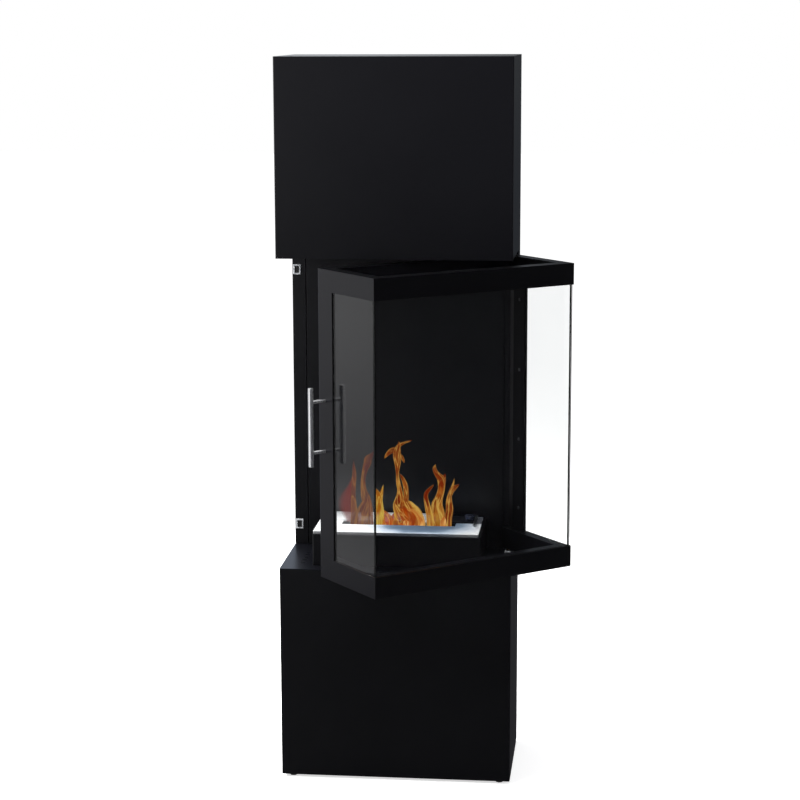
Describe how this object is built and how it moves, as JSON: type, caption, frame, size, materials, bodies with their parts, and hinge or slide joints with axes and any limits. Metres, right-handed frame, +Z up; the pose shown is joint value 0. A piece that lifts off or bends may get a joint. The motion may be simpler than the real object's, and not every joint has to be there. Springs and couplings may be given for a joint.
{
  "type": "bioethanol fireplace",
  "caption": "Free-standing bioethanol fireplace: plinth, open fire chamber with a swinging three-sided glass door, slot burner with sliding lid, and hood.",
  "frame": {"origin": "on the floor, under the middle of the cabinet's footprint", "axes": "+Z up, +Y to the rear, +X to the right as seen from the front; the door's hinge is at the right rear"},
  "size_m": [0.5628, 0.4927, 1.406],
  "materials": {
    "black_paint": "satin black powder coat",
    "black_screws": "blackened",
    "glide_plastic": "moulded",
    "zinc": "bright zinc plating",
    "magnet": "sintered ferrite",
    "bronze": "turned",
    "glass": "clear toughened, polished edges",
    "silicone": "matt",
    "stainless": "brushed stainless steel",
    "knob_plastic": "glossy blue-black",
    "ceramic_wool": "fibrous pad"
  },
  "bodies": {
    "cabinet": {"base_shell": "black_paint", "base_top_plate": "black_paint", "base_bottom_plate": "black_paint", "base_back_panel": "black_paint", "base_glides": "glide_plastic", "left_post": "black_paint", "right_post": "black_paint", "chamber_back_panel": "black_paint", "column_rear_panel": "black_paint", "hood_shell": "black_paint", "hood_bottom_plate": "black_paint", "hood_back_panel": "black_paint", "back_screws": "black_screws", "lower_catch": "zinc", "upper_catch": "zinc", "catch_magnets": "magnet", "lower_pivot": "zinc", "upper_pivot": "zinc", "pivot_screws": "zinc", "thrust_washer": "bronze", "burner_pedestal": "black_paint"},
    "door": {"bottom_left_rail": "black_paint", "bottom_front_rail": "black_paint", "bottom_right_rail": "black_paint", "top_left_rail": "black_paint", "top_front_rail": "black_paint", "top_right_rail": "black_paint", "top_rear_rail": "black_paint", "left_stile": "black_paint", "right_stile": "black_paint", "left_glass": "glass", "front_glass": "glass", "right_glass": "glass", "left_clamp_strip": "black_paint", "right_clamp_strip": "black_paint", "clamp_screws": "zinc", "bottom_seal": "silicone", "top_seal": "silicone", "stile_seals": "silicone", "door_handle": "stainless", "handle_screws": "zinc", "strike_plates": "zinc", "lower_pivot_block": "zinc", "upper_pivot_block": "zinc", "lower_bush": "bronze", "upper_bush": "bronze"},
    "burner": {"burner_tray": "stainless", "fuel_box": "stainless", "fuel_wool": "ceramic_wool", "regulator_guides": "stainless"},
    "regulator": {"regulator_lid": "stainless", "regulator_knob": "knob_plastic"}
  },
  "joints": [
    {"name": "door_swing", "type": "hinge", "parent": "cabinet", "child": "door", "pos_m": [0.2125, 0.058, 0.424], "axis": [0, 0, 1], "range_deg": [-38.7, 56.3]},
    {"name": "burner_lift", "type": "slide", "parent": "cabinet", "child": "burner", "axis": [0, 0, 1], "range_m": [0, 0.08]},
    {"name": "regulator_slide", "type": "slide", "parent": "burner", "child": "regulator", "axis": [0, -1, 0], "range_m": [0, 0.032]}
  ]
}
